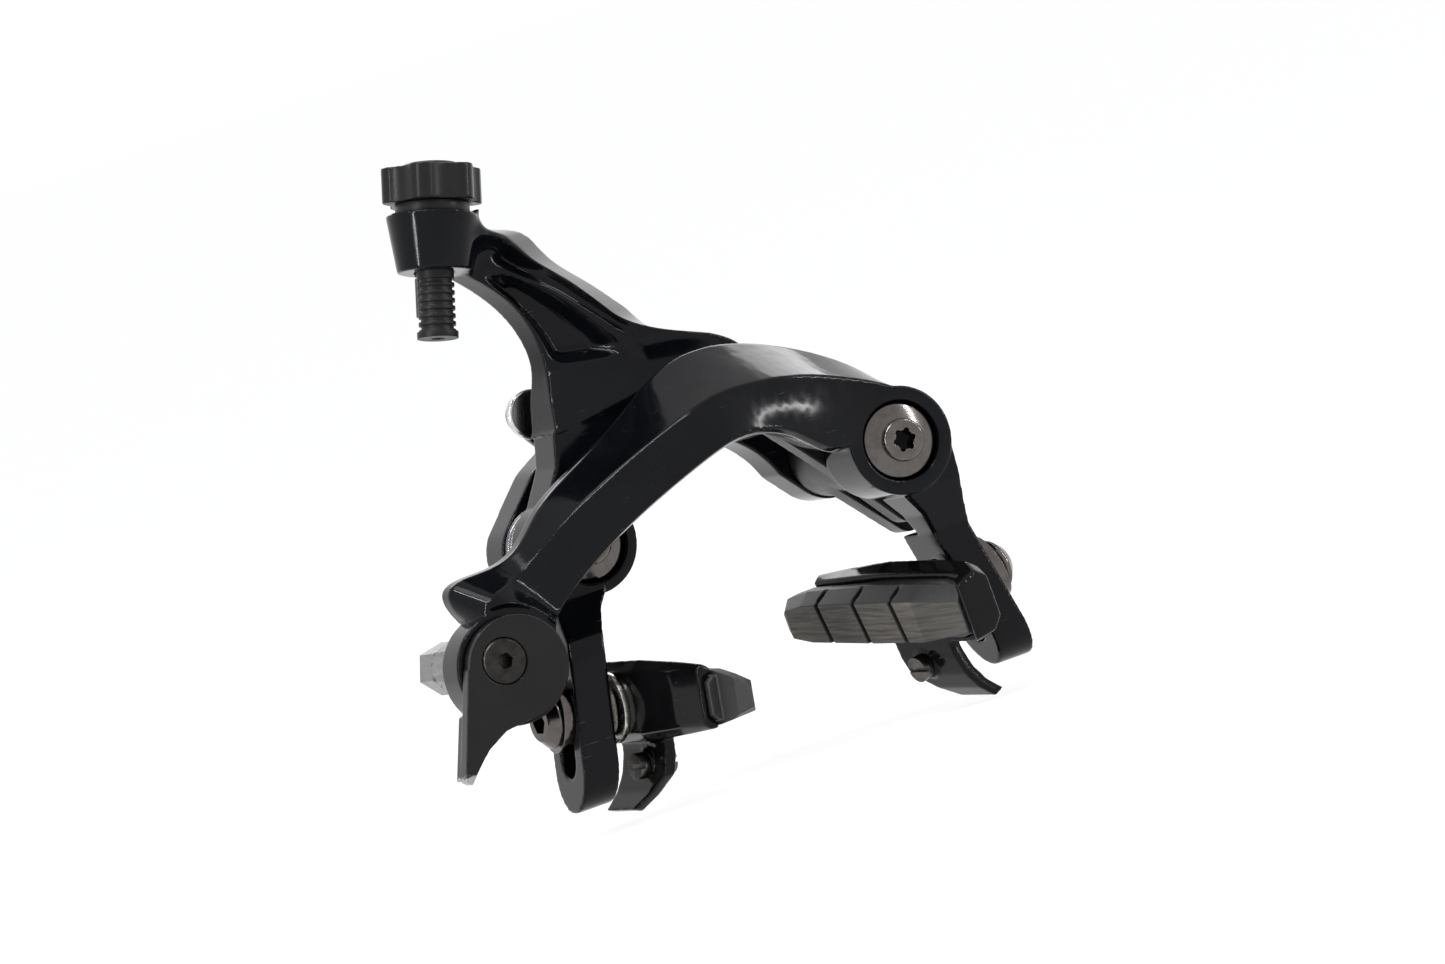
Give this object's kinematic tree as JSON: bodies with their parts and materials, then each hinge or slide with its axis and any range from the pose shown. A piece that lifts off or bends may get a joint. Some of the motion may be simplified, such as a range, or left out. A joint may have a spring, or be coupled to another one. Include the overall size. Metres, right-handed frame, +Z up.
{
  "type": "rim brake caliper",
  "caption": "Direct mount dual pivot rim brake caliper with two cross-linked arms, pads, adjuster and release lever",
  "frame": {"origin": "midway between the two pivot bolt axes, on the rear face of the joining plate", "axes": "+X to the viewer's right from the front of the brake, +Y to the rear along the bolts, +Z up"},
  "size_m": [0.1264, 0.0819, 0.1339],
  "materials": {
    "arm_black": "glossy black anodised and lacquered forging",
    "satin_black": "satin black anodised",
    "thread_black": "black oxide thread",
    "holder_black": "high gloss black",
    "pad_rubber": "matte, worn on the lower facet",
    "roller_plastic": "matte",
    "dark_steel": "dark brown-grey oxide",
    "dark_nickel": "dark nickel plating",
    "polished_steel": "polished",
    "spring_steel": "dark oiled wire",
    "washer_steel": "bright zinc",
    "nut_steel": "light grey machined"
  },
  "bodies": {
    "mount": {"booster_plate": "arm_black", "stop_stud": "polished_steel", "return_spring": "spring_steel", "pivot_sleeve_right": "polished_steel", "pivot_sleeve_left": "polished_steel", "dome_washer_right": "dark_nickel", "dome_washer_left": "dark_nickel", "pivot_bolt_right": "dark_nickel", "pivot_bolt_left": "dark_nickel"},
    "front_arm": {"c_arm": "arm_black", "link_lever": "satin_black", "roller_pin": "dark_steel"},
    "centering_screw": {"centering_screw": "dark_steel"},
    "roller": {"equalizer_roller": "roller_plastic"},
    "rear_arm": {"y_arm": "arm_black", "barrel_guide": "satin_black"},
    "barrel_carrier": {"barrel_collar": "satin_black"},
    "barrel": {"barrel_knob": "satin_black", "barrel_thread": "thread_black"},
    "release_lever": {"release_lever": "satin_black"},
    "cable_anchor": {"anchor_bolt": "dark_steel", "clamp_plate": "dark_steel", "clamp_nut": "nut_steel"},
    "pad_seat_right": {"domed_washer_right": "washer_steel", "outer_washer_right": "dark_nickel", "pad_bolt_right": "dark_nickel"},
    "pad_right": {"pad_holder_right": "holder_black", "brake_pad_right": "pad_rubber", "retaining_screw_right": "dark_steel", "cupped_washer_right": "washer_steel"},
    "pad_seat_left": {"domed_washer_left": "washer_steel", "outer_washer_left": "dark_nickel", "pad_bolt_left": "dark_nickel"},
    "pad_left": {"pad_holder_left": "holder_black", "brake_pad_left": "pad_rubber", "retaining_screw_left": "dark_steel", "cupped_washer_left": "washer_steel"}
  },
  "joints": [
    {"name": "front_arm_swing", "type": "hinge", "parent": "mount", "child": "front_arm", "pos_m": [0.031, -0.041, 0], "axis": [0, 1, 0], "range_deg": [0, 17.76], "stiffness_Nm_per_rad": 0.8, "springref_deg": -14.32},
    {"name": "rear_arm_swing", "type": "hinge", "parent": "mount", "child": "rear_arm", "pos_m": [-0.031, -0.026, 0], "axis": [0, 1, 0], "range_deg": [-17.76, 0], "stiffness_Nm_per_rad": 0.8, "springref_deg": 14.32},
    {"name": "roller_spin", "type": "hinge", "parent": "front_arm", "child": "roller", "pos_m": [-0.0081, -0.02535, 0.013], "axis": [0, 1, 0], "continuous": true},
    {"name": "centering_screw_turn", "type": "hinge", "parent": "front_arm", "child": "centering_screw", "pos_m": [0.0433, -0.0217, -0.0105], "axis": [1, 0, 0], "range_deg": [-180, 180]},
    {"name": "release_lever_swing", "type": "hinge", "parent": "front_arm", "child": "release_lever", "pos_m": [-0.0581, -0.0482, -0.0167], "axis": [0, 1, 0], "range_deg": [0, 86]},
    {"name": "anchor_turn", "type": "hinge", "parent": "release_lever", "child": "cable_anchor", "pos_m": [-0.0606, -0.036, -0.0148], "axis": [0, 1, 0], "range_deg": [-86, 0]},
    {"name": "barrel_lift", "type": "slide", "parent": "rear_arm", "child": "barrel_carrier", "axis": [0.304, 0.0698, 0.9501], "range_m": [0, 0.0075]},
    {"name": "barrel_turn", "type": "hinge", "parent": "barrel_carrier", "child": "barrel", "pos_m": [-0.0348, -0.0248, 0.0775], "axis": [0.304, 0.0698, 0.9501], "range_deg": [0, 1800]},
    {"name": "pad_height_right", "type": "slide", "parent": "front_arm", "child": "pad_seat_right", "axis": [-0.2334, 0, 0.9724], "range_m": [-0.006, 0.003]},
    {"name": "pad_swivel_right", "type": "hinge", "parent": "pad_seat_right", "child": "pad_right", "pos_m": [0.041, -0.034, -0.031], "axis": [-0.962, -0.2399, -0.1305], "range_deg": [-8, 8]},
    {"name": "pad_height_left", "type": "slide", "parent": "rear_arm", "child": "pad_seat_left", "axis": [0.1994, 0, 0.9799], "range_m": [-0.006, 0]},
    {"name": "pad_swivel_left", "type": "hinge", "parent": "pad_seat_left", "child": "pad_left", "pos_m": [-0.0432, -0.034, -0.0305], "axis": [0.9818, 0.138, -0.1305], "range_deg": [-8, 8]}
  ],
  "couplings": [
    {"joint": "rear_arm_swing", "follows": "front_arm_swing", "ratio": -1},
    {"joint": "anchor_turn", "follows": "release_lever_swing", "ratio": -1},
    {"joint": "barrel_lift", "follows": "barrel_turn", "m_per_rad": 0.00023873}
  ]
}
